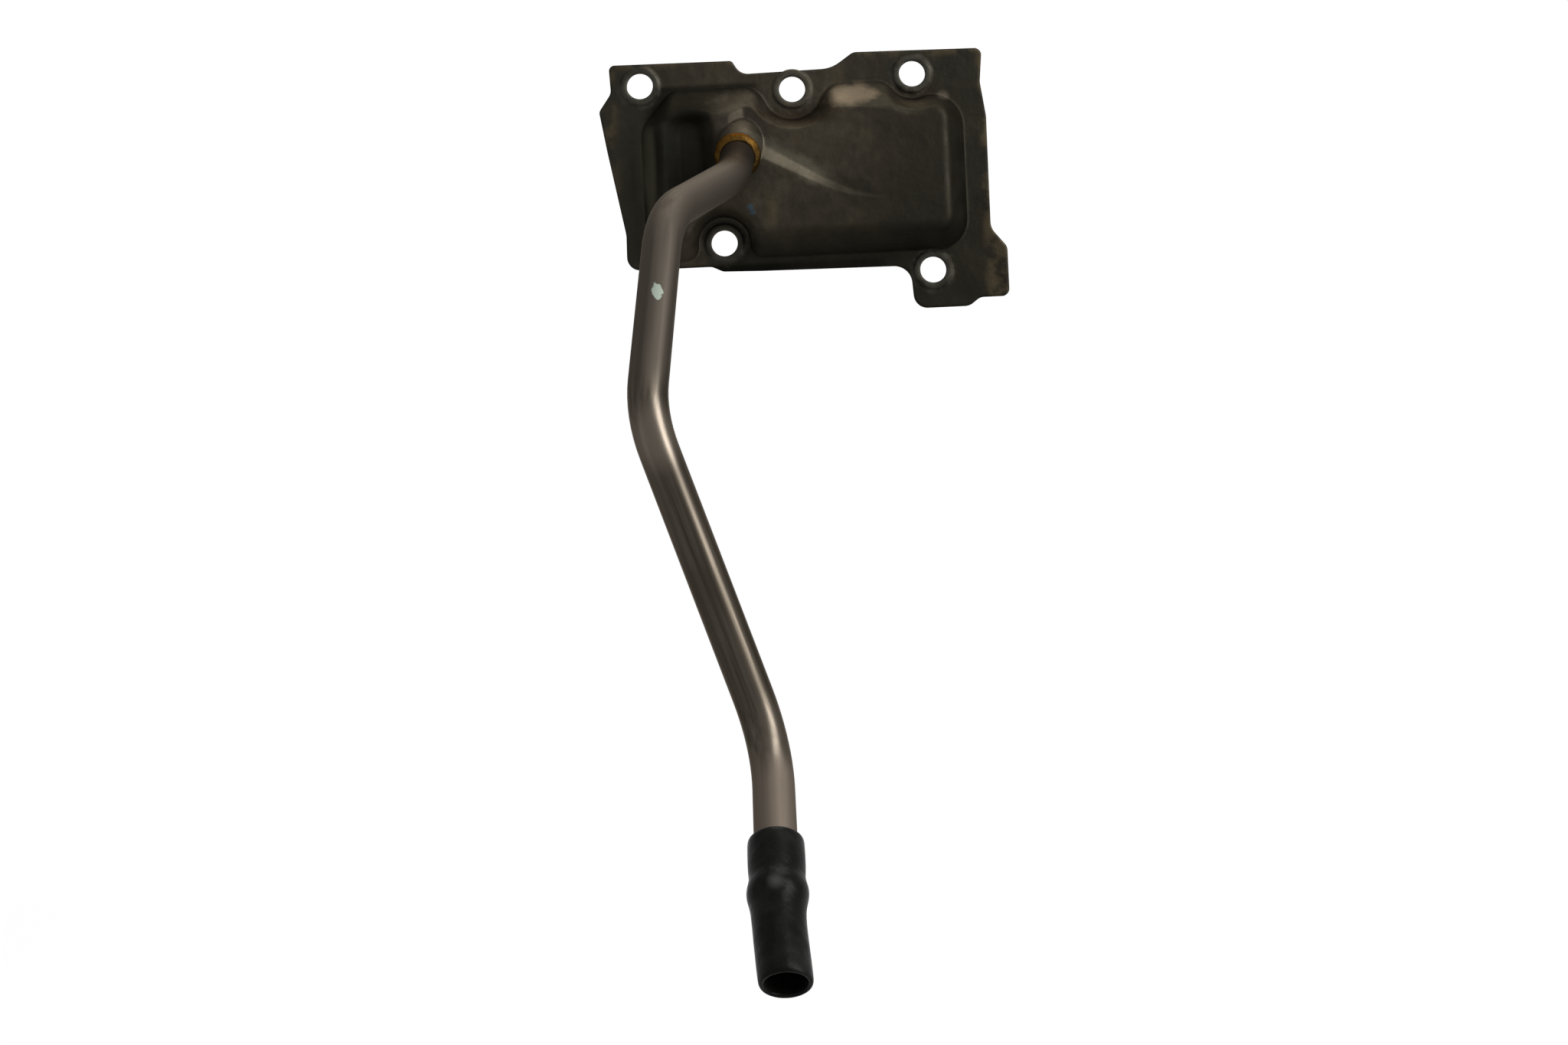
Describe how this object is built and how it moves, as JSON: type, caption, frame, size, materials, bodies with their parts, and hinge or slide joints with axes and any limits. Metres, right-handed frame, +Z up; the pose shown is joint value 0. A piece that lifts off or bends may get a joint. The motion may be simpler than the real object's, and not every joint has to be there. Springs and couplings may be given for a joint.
{
  "type": "crankcase oil separator",
  "caption": "Pressed steel oil separator cover for the side of an engine, with a bent steel outlet tube brazed into its socket and a short rubber sleeve on the tube's end.",
  "frame": {"origin": "centre of the middle bolt hole of the top edge, in the plane of the flange's flat back", "axes": "+Z up; +Y square out of the flange's flat back, towards the engine; the chamber and the tube stand out towards -Y; +X to the right as seen from the front"},
  "size_m": [0.1453, 0.1955, 0.2919],
  "materials": {
    "cover_steel": "dull, oil-darkened drawn sheet",
    "tube_steel": "bare drawn tube, satin",
    "braze": "as brazed",
    "rubber": "smooth moulded"
  },
  "bodies": {
    "root": {"separator_cover": "cover_steel", "outlet_tube": "tube_steel", "braze_ring": "braze", "rubber_sleeve": "rubber", "baffle_plate": "cover_steel"}
  },
  "joints": []
}
